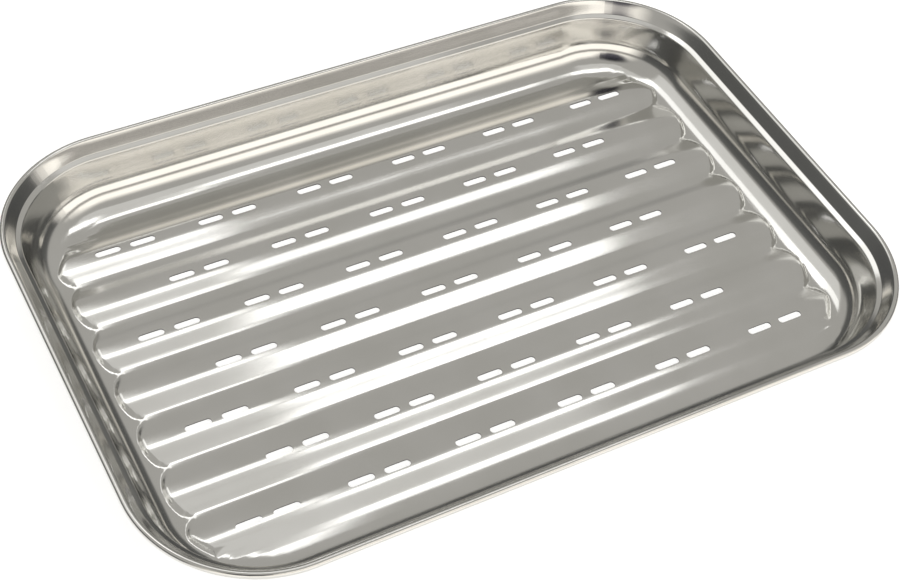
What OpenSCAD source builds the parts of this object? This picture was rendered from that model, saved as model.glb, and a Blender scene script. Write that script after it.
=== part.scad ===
// Stainless grill tray: one pressed sheet with a rolled edge, seven long ridges and slots in their crests.
// The tray stands on its floor at z = 0, with its long side along X.

/* [Tray] */
// Overall length, over the rolled edge
tray_l = 345; // [320:1:420]
// Overall width, over the rolled edge
tray_w = 240; // [230:1:300]
// Overall height, from the floor's underside to the top of the rolled edge
tray_h = 30; // [24:0.5:45]
// Radius of the four corners in plan, at the outer edge
corner_r = 55; // [42:1:70]
// Thickness of the sheet
sheet_t = 0.5; // [0.4:0.05:0.8]

/* [Rim] */
// Outer diameter of the rolled edge
curl_d = 3; // [2.4:0.1:4]
// How far the sheet turns round in the rolled edge, in degrees
curl_turn = 273; // [240:1:285]
// Steepness of the flared band below the rolled edge, in degrees from level
flare_slope = 53; // [45:1:65]
// Length of the flared band, along its slope
flare_l = 6; // [4:0.1:9]
// Width of the narrow ledge below the flared band
ledge_w = 2.2; // [1.8:0.1:4]
// Fall of the ledge over its width
ledge_fall = 1.1; // [0.4:0.1:1.6]
// Radius of the two small bends at the ledge
ledge_bend_r = 0.8; // [0.6:0.1:1]

/* [Wall] */
// Lean of the wall from upright, in degrees
wall_draft = 12; // [6:0.5:16]
// Radius of the large bend from the wall to the floor
floor_bend_r = 16; // [8:0.5:18]

/* [Ridges] */
// Number of ridges
ridge_n = 7; // [3:2:7]
// Distance from one crest to the next
ridge_pitch = 25.5; // [22:0.1:25.8]
// Height of a crest above the valleys
ridge_h = 2.2; // [1.6:0.1:3.2]
// Radius of the rounded crest
crest_r = 16; // [8:0.5:18]
// Radius of the rounded valley
valley_r = 6; // [3:0.5:8]
// Height of the valleys above the flat margin of the floor
valley_lift = 0.15; // [0.1:0.05:0.4]
// Distance from the outer edge of the tray to the tip of a ridge
ridge_end_gap = 21; // [20:0.5:40]
// Radius of a ridge's rounded end in plan
nose_r = 14.5; // [14:0.1:22]
// Steepness of a ridge's end, in degrees from level
nose_slope = 55; // [40:1:70]
// Radius in plan of the four corners of the ridged field
field_corner_r = 27; // [18:0.5:32]

/* [Slots] */
// Length of a slot over its round ends
slot_l = 11.3; // [8:0.1:12]
// Width of a slot
slot_w = 3.2; // [2:0.1:4]
// Distance between the centres of the two slots of a pair
slot_step = 15.8; // [14:0.1:20]
// Distance from one pair of slots to the next
pair_pitch = 47.5; // [40:0.5:50]
// Pairs of slots on the first, third and every other ridge
pairs_odd = 6; // [2:1:6]
// Pairs of slots on the ridges between them
pairs_even = 5; // [1:1:5]

/* [Hidden] */
through = 2;
arc_step = 12;
round_sides = 64;
slot_end_sides = 6;
curl_r = (curl_d - sheet_t) / 2;
curl_c = [-curl_d / 2, tray_h - curl_d / 2];
floor_mid = sheet_t / 2;
flat_l = 1;
flare_top = curl_c + curl_r * [-sin(flare_slope), cos(flare_slope)];
flare_foot = flare_top - flare_l * [cos(flare_slope), sin(flare_slope)];
wall_top = flare_foot - [ledge_w, ledge_fall];
wall_foot = [wall_top.x - (wall_top.y - floor_mid) * tan(wall_draft), floor_mid];
floor_bend_run = floor_bend_r * cos(wall_draft) / (1 + sin(wall_draft));
floor_inset = -wall_foot.x + floor_bend_run + flat_l;

// Slope of the flanks, from the ridge's height and the two rounded bends
bend_sum = crest_r + valley_r;
flank_run = ridge_pitch / 2;
half_tan = (flank_run - sqrt(flank_run ^ 2 - ridge_h * (2 * bend_sum - ridge_h))) / (2 * bend_sum - ridge_h);
flank_slope = 2 * atan(half_tan);
crest_loss = crest_r * (1 / cos(flank_slope) - 1);
valley_loss = valley_r * (1 / cos(flank_slope) - 1);
crest_z = sheet_t + valley_lift + ridge_h + crest_loss;
valley_z = sheet_t + valley_lift - valley_loss;
foot_y = ridge_pitch * (ridge_n - 1) / 2 + (crest_z - floor_mid) / tan(flank_slope);
field_x = tray_l / 2 - ridge_end_gap;
nose_x = field_x - nose_r;
nose_top = crest_z + through;
corner_gain = 1;

function ridge_y(i) = ridge_pitch * ((ridge_n - 1) / 2 - i);

// The points of an arc that rounds the corner at b, between a and c
function bend(a, b, c, r) =
    let (
        u = (b - a) / norm(b - a),
        v = (c - b) / norm(c - b),
        side = sign(u.x * v.y - u.y * v.x),
        turn = acos(max(-1, min(1, u * v))),
        start = b - r * tan(turn / 2) * u,
        centre = start + r * side * [-u.y, u.x],
        steps = max(2, ceil(turn / arc_step)),
        from = start - centre
    )
    [for (k = [0:steps])
        let (w = side * turn * k / steps)
        centre + [from.x * cos(w) - from.y * sin(w), from.x * sin(w) + from.y * cos(w)]];

// A line through the given corners, each one rounded by its own radius
function rounded_line(p, r) = concat(
    [p[0]],
    [for (i = [1:len(p) - 2]) each bend(p[i - 1], p[i], p[i + 1], r[i])],
    [p[len(p) - 1]]
);

// The middle of the sheet from the floor, up the wall and round the rolled edge; x is 0 at the outer edge
wall_line = concat(
    [[-floor_inset, floor_mid]],
    rounded_line(
        [[flat_l / 2 - floor_inset, floor_mid], wall_foot, wall_top, flare_foot, flare_top],
        [0, floor_bend_r, ledge_bend_r, ledge_bend_r, 0]
    ),
    [for (a = [arc_step:arc_step:curl_turn])
        curl_c + curl_r * [sin(a - flare_slope), cos(a - flare_slope)]]
);

// The direction across the sheet at a point of a line
function across(p, i) =
    let (d = p[min(i + 1, len(p) - 1)] - p[max(i - 1, 0)])
    [-d.y, d.x] / norm(d);

// The closed outline of a sheet of the given thickness that follows a line
function sheet_outline(p, t) = concat(
    [for (i = [0:len(p) - 1]) p[i] + across(p, i) * t / 2],
    [for (i = [len(p) - 1:-1:0]) p[i] - across(p, i) * t / 2]
);

module wall_section() {
    polygon(sheet_outline(wall_line, sheet_t));
}

// The wall and rim: four straight runs and four turned corners
module wall() {
    span_x = tray_l - 2 * corner_r;
    span_y = tray_w - 2 * corner_r;
    for (side = [0, 1]) {
        rotate(180 * side) translate([tray_l / 2, 0, 0])
            rotate([90, 0, 0]) linear_extrude(span_y, center = true) wall_section();
        rotate(90 + 180 * side) translate([tray_w / 2, 0, 0])
            rotate([90, 0, 0]) linear_extrude(span_x, center = true) wall_section();
    }
    for (sx = [0, 1], sy = [0, 1])
        mirror([sx, 0, 0]) mirror([0, sy, 0]) translate([span_x / 2, span_y / 2, 0])
            rotate_extrude(angle = 90, $fn = round_sides) translate([corner_r, 0]) wall_section();
}

// The flat of the floor; its edge overlaps the flat start of the wall's section
module floor_plate() {
    edge = floor_inset - flat_l / 4;
    r = corner_r - edge;
    l = tray_l - 2 * edge;
    w = tray_w - 2 * edge;
    linear_extrude(sheet_t) union() {
        square([l - 2 * r, w], center = true);
        square([l, w - 2 * r], center = true);
        for (sx = [-1, 1], sy = [-1, 1])
            translate([sx * (l / 2 - r), sy * (w / 2 - r)]) circle(r, $fn = round_sides);
    }
}

// Crests and valleys across the tray, as points [y, z] of the sheet's top
ridge_corners = concat(
    [[foot_y, floor_mid]],
    [for (i = [0:2 * ridge_n - 2])
        [ridge_pitch * (ridge_n - 1 - i) / 2, i % 2 == 0 ? crest_z : valley_z]],
    [[-foot_y, floor_mid]]
);
ridge_line = rounded_line(
    ridge_corners,
    [for (i = [-1:2 * ridge_n - 1]) i % 2 == 0 ? crest_r : valley_r]
);

// All that lies below the ridges' top, lowered by drop and reaching down to bottom
module ridge_wave(drop, bottom) {
    rotate([90, 0, 90]) linear_extrude(tray_l, center = true)
        polygon(concat(
            [for (p = ridge_line) p - [0, drop]],
            [[-foot_y, bottom], [foot_y, bottom]]
        ));
}

// A round plug with the slope of a ridge's end; its radius is r at the top of the flat floor
module sloped_plug(r, bottom) {
    spread = 1 / tan(nose_slope);
    translate([0, 0, bottom]) cylinder(
        h = nose_top - bottom,
        r1 = r + (sheet_t - bottom) * spread,
        r2 = r - (nose_top - sheet_t) * spread,
        $fn = round_sides
    );
}

// The outline of the ridged field with its round-ended ridges, smaller all round by inset
module ridge_field(inset, bottom) {
    corner_x = field_x + corner_gain - field_corner_r;
    corner_y = foot_y - field_corner_r;
    high = nose_top - bottom;
    intersection() {
        union() {
            translate([-nose_x, -tray_w / 2, bottom]) cube([2 * nose_x, tray_w, high]);
            for (i = [0:ridge_n - 1], s = [-1, 1])
                translate([s * nose_x, ridge_y(i), 0]) sloped_plug(nose_r - inset, bottom);
        }
        union() {
            translate([-corner_x, -tray_w / 2, bottom]) cube([2 * corner_x, tray_w, high]);
            translate([-tray_l / 2, -corner_y, bottom]) cube([tray_l, 2 * corner_y, high]);
            for (sx = [-1, 1], sy = [-1, 1])
                translate([sx * corner_x, sy * corner_y, 0]) sloped_plug(field_corner_r - inset, bottom);
        }
    }
}

module slot_outline() {
    reach = (slot_l - slot_w) / 2;
    polygon([for (s = [1, -1], k = [0:slot_end_sides])
        let (a = -90 * s + 180 * k / slot_end_sides)
        [s * reach + slot_w / 2 * cos(a), slot_w / 2 * sin(a)]]);
}

// Pairs of slots along the crests; every other ridge is half a step over
module slots() {
    for (i = [0:ridge_n - 1]) {
        pairs = i % 2 == 0 ? pairs_odd : pairs_even;
        for (p = [0:pairs - 1], s = [-1, 1])
            translate([(p - (pairs - 1) / 2) * pair_pitch + s * slot_step / 2, ridge_y(i), -through])
                linear_extrude(crest_z + 2 * through) slot_outline();
    }
}

module grill_tray() {
    color("silver") difference() {
        union() {
            wall();
            floor_plate();
            intersection() {
                ridge_wave(0, floor_mid);
                ridge_field(0, floor_mid);
            }
        }
        intersection() {
            ridge_wave(sheet_t, -through);
            ridge_field(sheet_t / sin(nose_slope), -through);
        }
        slots();
    }
}

grill_tray();
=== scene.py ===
import math

import bmesh
import bpy
from mathutils import Matrix, Vector


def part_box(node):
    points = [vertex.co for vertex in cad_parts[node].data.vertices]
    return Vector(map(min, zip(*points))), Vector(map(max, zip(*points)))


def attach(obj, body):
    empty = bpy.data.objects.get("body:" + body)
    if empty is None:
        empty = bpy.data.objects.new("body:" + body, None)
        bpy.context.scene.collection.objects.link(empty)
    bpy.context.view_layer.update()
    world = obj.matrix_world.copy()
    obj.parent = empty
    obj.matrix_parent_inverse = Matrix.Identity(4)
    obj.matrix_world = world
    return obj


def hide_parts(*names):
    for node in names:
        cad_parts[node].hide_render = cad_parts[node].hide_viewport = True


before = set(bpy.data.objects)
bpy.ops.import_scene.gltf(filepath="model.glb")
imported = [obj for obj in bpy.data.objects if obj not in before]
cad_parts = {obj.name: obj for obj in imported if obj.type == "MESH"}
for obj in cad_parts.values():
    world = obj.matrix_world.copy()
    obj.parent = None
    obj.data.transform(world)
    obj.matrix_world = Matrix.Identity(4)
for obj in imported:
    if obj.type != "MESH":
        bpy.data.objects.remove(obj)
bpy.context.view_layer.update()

MM = 0.001


# The pressed sheet. The whole tray is one blank of thin stainless sheet, drawn in a press into a shallow
# pan with long ridges in its floor. Its edge is flared, stepped by a narrow ledge and rolled over, and
# the slots are punched through the crests of the ridges.

low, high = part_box("grill_tray")
tray_l = (high.x - low.x) / MM
tray_w = (high.y - low.y) / MM
tray_h = (high.z - low.z) / MM
sheet_t = 0.5
corner_r = 55.0

curl_r = 1.5
curl_turn = 273.0
flare_slope = 53.0
flare_l = 6.0
ledge_w = 2.2
ledge_fall = 1.1
ledge_bend_r = 0.9
wall_draft = 12.0
floor_bend_r = 16.0

ridge_n = 7
ridge_pitch = 25.5
ridge_h = 2.1
crest_r = 24.0
valley_r = 8.0
valley_lift = 0.15
ridge_end_gap = 21.0
nose_r = 14.5
nose_slope = 55.0
nose_round = 0.9
foot_round = 0.8
field_corner_r = 27.0
corner_gain = 1.0
clear_x, clear_y = 4.0, 2.0  # past the ridged field by this much, the floor is plain

slot_l = 11.3
slot_w = 3.2
slot_step = 15.8
pair_pitch = 47.5
pairs = (6, 5)  # on the first ridge and every other one, and on the ridges between them

half_l, half_w = tray_l / 2, tray_w / 2
core_x, core_y = half_l - corner_r, half_w - corner_r

# The rounded crest and valley take a little off the sharp zigzag, so its slope follows from their radii
run = ridge_pitch / 2
bends = 2 * (crest_r + valley_r)
flank = 2 * math.atan((run - math.sqrt(run**2 - ridge_h * (bends - ridge_h))) / (bends - ridge_h))
crest_loss = crest_r * (1 / math.cos(flank) - 1)
valley_loss = valley_r * (1 / math.cos(flank) - 1)
crest_tip = sheet_t + valley_lift + ridge_h + crest_loss
valley_tip = sheet_t + valley_lift - valley_loss
crest_reach = crest_r * math.sin(flank)
valley_reach = valley_r * math.sin(flank)
side_rows = (ridge_n - 1) // 2
last_crest = ridge_pitch * side_rows
foot_y = last_crest + (crest_tip - sheet_t / 2) / math.tan(flank)
field_x = half_l - ridge_end_gap
nose_x = field_x - nose_r


def outward(x, y):
    """The nearest point of the inner rectangle that joins the four corner centres, and the way out."""
    core = Vector((max(-core_x, min(core_x, x)), max(-core_y, min(core_y, y))))
    way = Vector((x, y)) - core
    return core, (way.normalized() if way.length > 1e-6 else Vector((1, 0)))


def inset_of(x, y):
    """Distance in from the tray's outer edge, in plan."""
    core, way = outward(x, y)
    return corner_r - (Vector((x, y)) - core).length


def blend_low(a, b, k):
    """The lower of two heights, rounded where they cross."""
    h = max(k - abs(a - b), 0) / k
    return min(a, b) - h * h * k / 4


def blend_high(a, b, k):
    """The higher of two heights, rounded where they cross."""
    return -blend_low(-a, -b, k)


def wave_height(y):
    """Height of the ridges' top across the tray."""
    u = abs(y)
    k = min(round(u / ridge_pitch), side_rows)
    d = abs(u - k * ridge_pitch)
    if d < crest_reach:
        return crest_tip - crest_loss - crest_r + math.sqrt(crest_r**2 - d * d)
    v = run - d
    if abs(v) < valley_reach and u < last_crest:
        return valley_tip + valley_loss + valley_r - math.sqrt(valley_r**2 - v * v)
    return crest_tip - d * math.tan(flank)


def base_height(inset):
    """Height of the plain floor and its large bend, without the ridges."""
    d = floor_start - inset
    return sheet_t if d <= 0 else sheet_t + bend_top_r - math.sqrt(bend_top_r**2 - d * d)


def top_height(x, y):
    """Height of the sheet's top side inside the wall: the floor, and the round-ended ridges on it."""
    base = base_height(inset_of(x, y))
    if abs(y) > foot_y + clear_y or abs(x) > field_x + clear_x:
        return base
    ridge = wave_height(y)
    steep = math.tan(math.radians(nose_slope))
    if abs(x) > nose_x:
        row = ridge_pitch * max(-side_rows, min(side_rows, round(y / ridge_pitch)))
        end = sheet_t + (nose_r - math.hypot(abs(x) - nose_x, y - row)) * steep
        ridge = blend_low(ridge, end, nose_round)
    cx, cy = field_x + corner_gain - field_corner_r, foot_y - field_corner_r
    if abs(x) > cx and abs(y) > cy:
        end = sheet_t + (field_corner_r - math.hypot(abs(x) - cx, abs(y) - cy)) * steep
        ridge = blend_low(ridge, end, nose_round)
    return blend_high(base, ridge, foot_round)


def turn_points(a, b, c, r, steps):
    """Points along the round of radius r that joins the line a to b with the line b to c."""
    u, v = (b - a).normalized(), (c - b).normalized()
    turn = u.angle_signed(v)
    start = b - u * r * math.tan(abs(turn) / 2)
    side = -1 if turn > 0 else 1
    middle = start + Vector((-u.y, u.x)) * r * side
    spoke = start - middle
    return [middle + Matrix.Rotation(-turn * k / steps, 2) @ spoke for k in range(steps + 1)]


# Section of the sheet's top side, from the floor to the end of the rolled edge. Each point holds its
# place across, which is 0 at the tray's outer edge and negative inside it, and its height.
bend_steps, ledge_steps, curl_steps = 26, 6, 26
bend_on_grid = 7.5
wall_places, flare_places = (0.75, 0.88), (0.4, 0.7)
lean = math.radians(wall_draft)
flare = math.radians(flare_slope)
curl_mid = Vector((-curl_r, tray_h - curl_r))
flare_top = curl_mid + curl_r * Vector((-math.sin(flare), math.cos(flare)))
flare_foot = flare_top - flare_l * Vector((math.cos(flare), math.sin(flare)))
wall_top = flare_foot - Vector((ledge_w, ledge_fall))
wall_foot = Vector((wall_top.x - (wall_top.y - sheet_t) * math.tan(lean), sheet_t))
bend_top_r = floor_bend_r - sheet_t / 2
floor_start = -wall_foot.x + bend_top_r * math.tan((math.pi / 2 - lean) / 2)

bend_in = turn_points(Vector((-floor_start, sheet_t)), wall_foot, wall_top, bend_top_r, bend_steps)
section = [p for p in bend_in if p.x > -floor_start + bend_on_grid]
section += [wall_foot.lerp(wall_top, t) for t in wall_places]
section += turn_points(wall_foot, wall_top, flare_foot, ledge_bend_r, ledge_steps)
section += turn_points(wall_top, flare_foot, flare_top, ledge_bend_r, ledge_steps)
section += [flare_foot.lerp(flare_top, t) for t in flare_places]
for k in range(curl_steps + 1):
    a = flare + math.pi / 2 - math.radians(curl_turn) * k / curl_steps
    section.append(curl_mid + curl_r * Vector((math.cos(a), math.sin(a))))

bm = bmesh.new()
bmesh.ops.create_grid(bm, x_segments=1, y_segments=1, size=0.5)
bmesh.ops.scale(bm, vec=(tray_l, tray_w, 1), verts=bm.verts)


def cut(place, way, keep=True):
    """Cuts the sheet along a line in plan; the far side goes where keep is False."""
    everything = bm.verts[:] + bm.edges[:] + bm.faces[:]
    bmesh.ops.bisect_plane(
        bm, geom=everything, plane_co=place, plane_no=way, clear_outer=not keep, dist=1e-5
    )


floor_edge = -section[0].x
grid_gap = 0.2
grid_x, grid_y = half_l - floor_edge - grid_gap, half_w - floor_edge - grid_gap

# Lines along the ridges: close together at crests, at valleys and where the outer ridges meet the floor
foot_back, foot_step, foot_lines = 3.5, 0.75, 14
bend_step, bend_lines = 1.9, 4
lines_y = set()
for k in range(-side_rows, side_rows + 1):
    for d in (0, 0.2, 0.4, 0.6, 0.8, 1.0):
        lines_y |= {k * ridge_pitch + d * crest_reach, k * ridge_pitch - d * crest_reach}
    for d in (0.33, 0.66):
        reach = crest_reach + (run - valley_reach - crest_reach) * d
        lines_y |= {k * ridge_pitch + reach, k * ridge_pitch - reach}
    for d in (-1, -0.6, -0.2, 0.2, 0.6, 1):
        lines_y |= {k * ridge_pitch + run + d * valley_reach, k * ridge_pitch - run - d * valley_reach}
for d in range(foot_lines):
    y = foot_y - foot_back + d * foot_step
    lines_y |= {y, -y}
for d in range(1, bend_lines + 1):
    y = half_w - floor_start + d * bend_step
    lines_y |= {y, -y}
for y in sorted(y for y in lines_y if abs(y) < grid_y):
    cut((0, y, 0), (0, 1, 0))

# Lines across the ridges: close together at their round ends
end_start, end_past = 6, 1.5
end_step, margin_step = 0.55, 1.1
x = nose_x + end_start
lines_x = [0, 30, 60, 90, 110, 118, 124, 129, nose_x]
while x < grid_x:
    lines_x.append(x)
    x += end_step if x < field_x + end_past else margin_step
for x in sorted(set(lines_x)):
    cut((x, 0, 0), (1, 0, 0))
    if x:
        cut((-x, 0, 0), (1, 0, 0))

# The floor is trimmed to its rounded outline
for way in ((1, 0), (-1, 0), (0, 1), (0, -1)):
    reach = (half_l if way[0] else half_w) - floor_edge
    cut((way[0] * reach, way[1] * reach, 0), (way[0], way[1], 0), keep=False)
corner_steps = 20
for sx in (-1, 1):
    for sy in (-1, 1):
        for k in range(corner_steps):
            a = math.pi / 2 * (k + 0.5) / corner_steps
            r = (corner_r - floor_edge) * math.cos(math.pi / 4 / corner_steps)
            way = Vector((sx * math.cos(a), sy * math.sin(a), 0))
            cut(Vector((sx * core_x, sy * core_y, 0)) + way * r, way, keep=False)

rim_edges = [e for e in bm.edges if e.is_boundary]
for v in {v for e in rim_edges for v in e.verts}:
    core, way = outward(v.co.x, v.co.y)
    v.co.xy = core + way * (corner_r - floor_edge)
for v in bm.verts:
    v.co.z = top_height(v.co.x, v.co.y)

# The wall, ledge, flare and rolled edge are drawn out from the floor's outline, ring by ring
for point in section[1:]:
    grown = bmesh.ops.extrude_edge_only(bm, edges=rim_edges)["geom"]
    rim_edges = [g for g in grown if isinstance(g, bmesh.types.BMEdge) and g.is_boundary]
    for v in (g for g in grown if isinstance(g, bmesh.types.BMVert)):
        core, way = outward(v.co.x, v.co.y)
        spot = core + way * (corner_r + point.x)
        v.co = (spot.x, spot.y, point.y)

bmesh.ops.scale(bm, vec=(MM, MM, MM), verts=bm.verts)
bmesh.ops.recalc_face_normals(bm, faces=bm.faces)
middle_face = min(bm.faces, key=lambda f: f.calc_center_median().length)
if middle_face.normal.z < 0:
    bmesh.ops.reverse_faces(bm, faces=bm.faces)
mesh = bpy.data.meshes.new("pressed_sheet")
bm.to_mesh(mesh)
bm.free()
sheet = bpy.data.objects.new("pressed_sheet", mesh)
bpy.context.scene.collection.objects.link(sheet)

# The punches that cut the slots, in pairs along each crest
punch_low, punch_h, punch_sides = -2, 12, 24
bm = bmesh.new()
for i in range(ridge_n):
    count = pairs[i % 2]
    y = ridge_pitch * (side_rows - i)
    for p in range(count):
        for side in (-1, 1):
            x = (p - (count - 1) / 2) * pair_pitch + side * slot_step / 2
            made = bmesh.ops.create_circle(bm, cap_ends=True, radius=slot_w / 2, segments=punch_sides)
            punch = made["verts"]
            for v in punch:
                v.co.x += math.copysign((slot_l - slot_w) / 2, v.co.x) if abs(v.co.x) > 1e-4 else 0
            bmesh.ops.translate(bm, vec=(x, y, punch_low), verts=punch)
tops = bmesh.ops.extrude_face_region(bm, geom=bm.faces[:])["geom"]
top_verts = [g for g in tops if isinstance(g, bmesh.types.BMVert)]
bmesh.ops.translate(bm, vec=(0, 0, punch_h), verts=top_verts)
bmesh.ops.scale(bm, vec=(MM, MM, MM), verts=bm.verts)
bmesh.ops.recalc_face_normals(bm, faces=bm.faces)
punch_mesh = bpy.data.meshes.new("slot_punches")
bm.to_mesh(punch_mesh)
bm.free()
punches = bpy.data.objects.new("slot_punches", punch_mesh)
bpy.context.scene.collection.objects.link(punches)

# The skin gets its thickness downwards, and the slots are cut through it
thick = sheet.modifiers.new("thickness", "SOLIDIFY")
thick.thickness = sheet_t * MM
thick.offset = -1
thick.use_even_offset = True
slots = sheet.modifiers.new("slots", "BOOLEAN")
slots.object = punches
slots.operation = "DIFFERENCE"
slots.solver = "EXACT"
depsgraph = bpy.context.evaluated_depsgraph_get()
cut_mesh = bpy.data.meshes.new_from_object(sheet.evaluated_get(depsgraph))
sheet.modifiers.clear()
sheet.data = cut_mesh
bpy.data.objects.remove(punches)
sharp_from = math.radians(38)
for face in cut_mesh.polygons:
    face.use_smooth = True
cut_mesh.set_sharp_from_angle(angle=sharp_from)

# The slots' punched walls are marked, so that the material can paint them near-black as painted shade
# for the shadow inside the slots
upright = 0.3
slot_wall_shade = cut_mesh.attributes.new("slot_wall_shade", "FLOAT", "CORNER")
for face in cut_mesh.polygons:
    in_field = abs(face.center.x) < field_x * MM and abs(face.center.y) < foot_y * MM
    if in_field and abs(face.normal.z) < upright:
        for corner in face.loop_indices:
            slot_wall_shade.data[corner].value = 1.0


class Value:
    """A shader socket that adds Math nodes when it is used in sums, and other nodes by node and out."""

    def __init__(self, tree, socket):
        self.tree, self.socket = tree, socket

    def node(self, kind, settings=None, **sockets):
        made = self.tree.nodes.new(kind)
        for name, value in (settings or {}).items():
            if name == "stops":
                held = made.color_ramp.elements
                for spot, (place, colour) in enumerate(value):
                    stop = held[spot] if spot < len(held) else held.new(place)
                    stop.position, stop.color = place, colour
            else:
                setattr(made, name, value)
        for name, value in sockets.items():
            key = int(name[1:]) if name[0] == "s" and name[1:].isdigit() else name.replace("_", " ")
            if isinstance(value, Value):
                self.tree.links.new(value.socket, made.inputs[key])
            else:
                made.inputs[key].default_value = value
        return made

    def out(self, kind, settings=None, output=0, **sockets):
        return Value(self.tree, self.node(kind, settings, **sockets).outputs[output])

    def sum(self, operation, other, swapped=False):
        a, b = (other, self) if swapped else (self, other)
        return self.out("ShaderNodeMath", {"operation": operation}, s0=a, s1=b)

    def __add__(self, other):
        return self.sum("ADD", other)

    __radd__ = __add__

    def __mul__(self, other):
        return self.sum("MULTIPLY", other)

    __rmul__ = __mul__

    def __sub__(self, other):
        return self.sum("SUBTRACT", other)

    def __rsub__(self, other):
        return self.sum("SUBTRACT", other, swapped=True)


def start_material(name):
    """An empty material, and a value that builds its nodes."""
    material = bpy.data.materials.new(name)
    material.use_nodes = True
    material.node_tree.nodes.clear()
    return material, Value(material.node_tree, None)


# Bright rolled stainless: smooth enough to mirror softly, with a faint grain along the sheet, small
# cloudy differences in polish and the very slight waviness of a thin pressing.
steel, make = start_material("bright_stainless")
spot = make.out("ShaderNodeTexCoord", output=3)
grain_space = make.out("ShaderNodeMapping", s0=spot, Scale=(60, 2600, 2600))
grain = make.out("ShaderNodeTexNoise", s0=grain_space, Scale=1.0, Detail=3.0, Roughness=0.6)
cloud = make.out("ShaderNodeTexNoise", s0=spot, Scale=28.0, Detail=3.0, Roughness=0.5)
ripple = make.out("ShaderNodeTexNoise", s0=spot, Scale=18.0, Detail=1.0, Roughness=0.4)
tint = make.out(
    "ShaderNodeValToRGB",
    {"stops": [(0.35, (0.66, 0.655, 0.63, 1)), (0.65, (0.70, 0.695, 0.675, 1))]},
    s0=cloud,
)
# Painted shade: the marked slot walls get a near-black base colour in place of the shadow inside the
# slots
slot_shade_mask = make.out("ShaderNodeAttribute", {"attribute_name": "slot_wall_shade"}, output=2)
painted_shade_grey = (0.03, 0.03, 0.03, 1)
metal = make.out("ShaderNodeMix", {"data_type": "RGBA"}, output=2, s0=slot_shade_mask, s6=tint, s7=painted_shade_grey)
waves = make.out("ShaderNodeBump", Strength=0.25, Distance=0.0006, Height=ripple)
relief = make.out("ShaderNodeBump", Strength=0.09, Distance=0.00005, Height=grain, Normal=waves)
gloss = make.node(
    "ShaderNodeBsdfPrincipled",
    Base_Color=metal,
    Metallic=1.0,
    Roughness=0.12 + 0.04 * (cloud - 0.5) + 0.06 * (grain - 0.5),
    Normal=relief,
)
make.node("ShaderNodeOutputMaterial", Surface=Value(steel.node_tree, gloss.outputs[0]))
sheet.data.materials.clear()
sheet.data.materials.append(steel)
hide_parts("grill_tray")
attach(sheet, "root")


# The stage: a plain pale table that glows a little, as a white light table does, so that the slots
# show pale from above as they do in the photograph.
table_half, table_gap = 3, 0.0002
bm = bmesh.new()
bmesh.ops.create_grid(bm, x_segments=1, y_segments=1, size=table_half)
bmesh.ops.translate(bm, vec=(0, 0, low.z - table_gap), verts=bm.verts)
table_mesh = bpy.data.meshes.new("light_table")
bm.to_mesh(table_mesh)
bm.free()
table = bpy.data.objects.new("light_table", table_mesh)
bpy.context.scene.collection.objects.link(table)
pale, make = start_material("pale_table")
surface = make.node(
    "ShaderNodeBsdfPrincipled",
    Base_Color=(0.8, 0.8, 0.8, 1),
    Roughness=0.9,
    Emission_Color=(1, 1, 1, 1),
    Emission_Strength=0.62,
)
make.node("ShaderNodeOutputMaterial", Surface=Value(pale.node_tree, surface.outputs[0]))
table_mesh.materials.append(pale)


# The room: grey overhead, dim low down at the far side and on the left, and pale and warm behind the
# camera but for one darker band, with a soft dark patch where the camera stands. It gives the walls
# and the rim of the tray their tones.
world = bpy.data.worlds.new("studio")
bpy.context.scene.world = world
world.use_nodes = True
world.node_tree.nodes.clear()
make = Value(world.node_tree, None)
way = make.out("ShaderNodeTexCoord", output=0)
across = make.out("ShaderNodeSeparateXYZ", output=0, s0=way)
depth = make.out("ShaderNodeSeparateXYZ", output=1, s0=way)
height = make.out("ShaderNodeSeparateXYZ", output=2, s0=way)
black, white = (0, 0, 0, 1), (1, 1, 1, 1)
grey = (0.50, 0.49, 0.465, 1)
dim = (0.14, 0.14, 0.135, 1)
dark = (0.08, 0.08, 0.08, 1)
warm = (1.60, 1.53, 1.42, 1)
band = (0.42, 0.40, 0.37, 1)
lens_dark = (0.06, 0.06, 0.08, 1)


def ramp(along, *stops):
    """A colour that changes with a value, through the given stops."""
    return make.out("ShaderNodeValToRGB", {"stops": stops}, s0=along)


far_wall = ramp(height, (0.0, dark), (0.33, dim), (0.42, grey), (1.0, grey))
left_wall = ramp(height, (0.0, dark), (0.43, dim), (0.52, grey), (1.0, grey))
warm_low = ((0.0, warm), (0.39, warm), (0.42, band), (0.50, band))
warm_high = ((0.55, warm), (0.70, warm), (0.82, grey), (1.0, grey))
near_wall = ramp(height, *warm_low, *warm_high)
on_left = ramp(0.0 - across, (0.35, black), (0.60, white))
on_near = ramp(0.0 - depth, (0.3, black), (0.6, white))
mixed = {"data_type": "RGBA"}
back = make.out("ShaderNodeMix", mixed, output=2, s0=on_left, s6=far_wall, s7=left_wall)
walls = make.out("ShaderNodeMix", mixed, output=2, s0=on_near, s6=back, s7=near_wall)
lens_way = Vector((-0.267, -0.42, 0.56)).normalized()
dot = {"operation": "DOT_PRODUCT"}
to_lens = make.out("ShaderNodeVectorMath", dot, output=1, s0=way, s1=lens_way)
shade = ramp(to_lens, (0.95, white), (0.985, lens_dark))
shaded = {"data_type": "RGBA", "blend_type": "MULTIPLY"}
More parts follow.
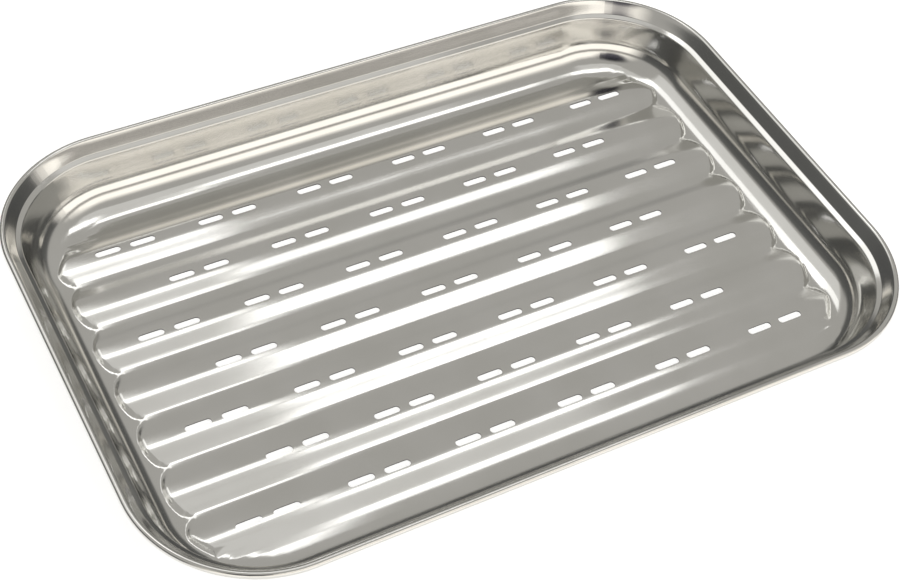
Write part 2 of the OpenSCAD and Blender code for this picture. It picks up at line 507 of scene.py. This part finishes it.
seen = make.out("ShaderNodeMix", shaded, output=2, s0=1.0, s6=walls, s7=shade)
room = make.node("ShaderNodeBackground", Color=seen, Strength=1.0)
make.node("ShaderNodeOutputWorld", Surface=Value(world.node_tree, room.outputs[0]))


# The studio's soft boxes hang level above the tray, and draw the bright bands along the ridges and
# beside their ends. Each is given by two opposite corners in plan and by its brightness.
box_height = 1.2


def soft_box(name, near, far, glow):
    """A level soft light above the tray, between two opposite corners in plan."""
    size = Vector(far) - Vector(near)
    data = bpy.data.lights.new(name, "AREA")
    data.shape = "RECTANGLE"
    data.size, data.size_y = size
    data.energy = glow * math.pi * size.x * size.y
    lamp = bpy.data.objects.new(name, data)
    lamp.location = (near[0] + size.x / 2, near[1] + size.y / 2, box_height)
    bpy.context.scene.collection.objects.link(lamp)


soft_box("main_box", (0.23, 0.15), (0.68, 0.372), 1.7)
soft_box("side_box", (-0.30, 0.40), (0.25, 0.64), 1.5)
soft_box("wall_box", (-0.30, 0.63), (0.09, 1.30), 0.95)
soft_box("far_left_box", (-1.30, 0.42), (-0.31, 1.40), 0.35)
soft_box("fill_box", (-0.10, -0.20), (0.56, 0.14), 0.28)
soft_box("left_fill_box", (-0.10, 0.15), (0.23, 0.41), 0.25)


# The camera looks down over one corner from the photograph's height, turned a little on its own axis.
# Its place is measured from the middle of the crests' tops.
camera_data = bpy.data.cameras.new("camera")
camera_data.sensor_width = 36
camera_data.lens = 69.52
camera = bpy.data.objects.new("camera", camera_data)
bpy.context.scene.collection.objects.link(camera)
crest_top = (sheet_t + valley_lift + ridge_h) * MM
camera_spot = Vector((-0.2675, -0.4208, 0.5615 + crest_top))
camera_aim = Vector((-0.00188, -0.00376, crest_top))
camera_roll = math.radians(6.457)
look = (camera_aim - camera_spot).to_track_quat("-Z", "Y").to_matrix().to_4x4()
camera.matrix_world = Matrix.Translation(camera_spot) @ look @ Matrix.Rotation(camera_roll, 4, "Z")
camera_data.clip_start, camera_data.clip_end = 0.01, 20
bpy.context.scene.camera = camera
bpy.context.scene.view_settings.view_transform = "Standard"
